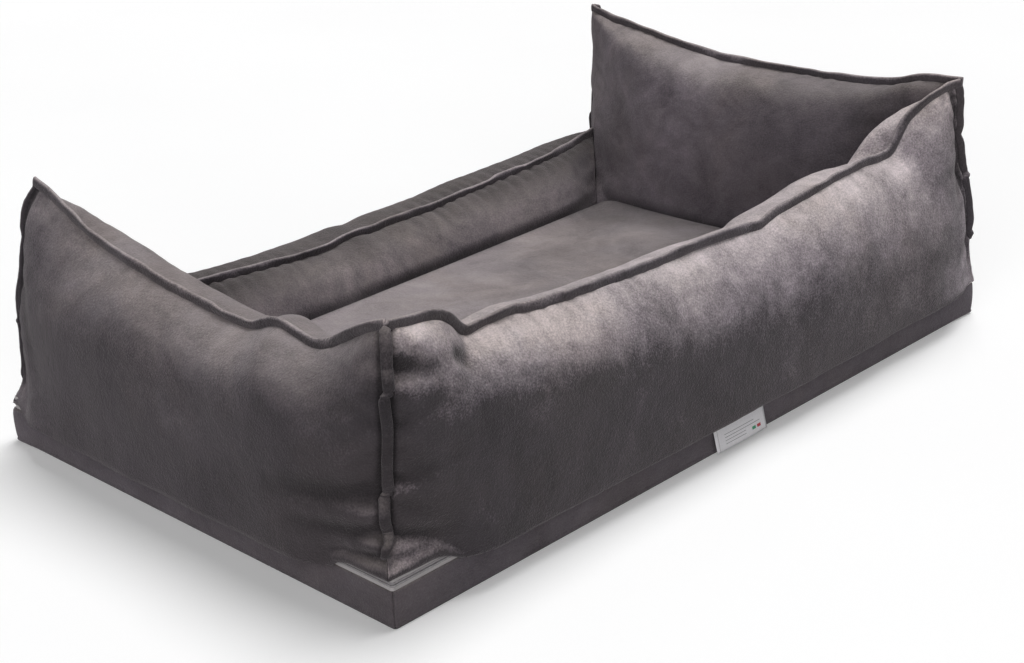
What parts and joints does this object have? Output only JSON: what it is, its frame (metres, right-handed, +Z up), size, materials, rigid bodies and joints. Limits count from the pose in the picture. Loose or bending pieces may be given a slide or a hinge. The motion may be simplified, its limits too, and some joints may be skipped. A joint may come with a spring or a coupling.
{
  "type": "dog sofa bed",
  "caption": "Rectangular fabric dog bed: foam base box, tall stuffed back and arms, a low front roll, raised piping, and a loose seat mat inside.",
  "frame": {"origin": "middle of the underside, on the floor plane", "axes": "+Z up, +X along the long side towards the right arm, -Y towards the low entry side"},
  "size_m": [1.028, 0.668, 0.319],
  "materials": {
    "velvet": "brushed taupe-grey velvet, soft sheen",
    "seat_velvet": "brushed taupe-grey velvet, soft sheen",
    "base_velvet": "brushed taupe-grey velvet, matt",
    "piping": "folded velvet edge, matt",
    "non_slip_cloth": "dotted non-slip cloth, matt",
    "zip_tape": "woven polyester tape",
    "zip_coil": "satin nylon coil",
    "zip_metal": "satin lacquered zinc",
    "foam": "open-cell foam",
    "stuffing": "fibre stuffing",
    "label_cloth": "woven satin ribbon"
  },
  "bodies": {
    "base": {"base_cover": "base_velvet", "bottom_panel": "non_slip_cloth", "base_foam": "foam", "lower_zip_tape": "zip_tape", "lower_zip_chain": "zip_coil", "zip_end_stop": "zip_metal"},
    "surround": {"surround_underside": "non_slip_cloth", "back_cover": "velvet", "right_arm_cover": "velvet", "left_arm_cover": "velvet", "front_cover": "velvet", "back_fill": "stuffing", "right_arm_fill": "stuffing", "left_arm_fill": "stuffing", "front_fill": "stuffing", "back_piping": "piping", "right_arm_piping": "piping", "left_arm_piping": "piping", "front_piping": "piping", "back_right_corner_piping": "piping", "back_left_corner_piping": "piping", "front_right_corner_piping": "piping", "front_left_corner_piping": "piping", "upper_zip_tape": "zip_tape", "upper_zip_chain": "zip_coil"},
    "seat_mat": {"seat_cover": "seat_velvet", "seat_foam": "foam"},
    "slider": {"zip_slider": "zip_metal"},
    "pull": {"zip_pull": "zip_metal"},
    "label": {"label": "label_cloth"}
  },
  "joints": [
    {"name": "seat_lift", "type": "slide", "parent": "base", "child": "seat_mat", "axis": [0, 0, 1], "range_m": [0, 0.32]},
    {"name": "surround_lift", "type": "slide", "parent": "base", "child": "surround", "axis": [0, 0, 1], "range_m": [0, 0.3]},
    {"name": "zip_run", "type": "slide", "parent": "base", "child": "slider", "axis": [-1, 0, 0], "range_m": [0, 0.8]},
    {"name": "pull_swing", "type": "hinge", "parent": "slider", "child": "pull", "pos_m": [0.4, -0.3263, 0.05015], "axis": [-1, 0, 0], "range_deg": [0, 120]},
    {"name": "label_flap", "type": "hinge", "parent": "base", "child": "label", "pos_m": [-0.021, 0.3258, 0.0417], "axis": [1, 0, 0], "range_deg": [0, 45]}
  ]
}
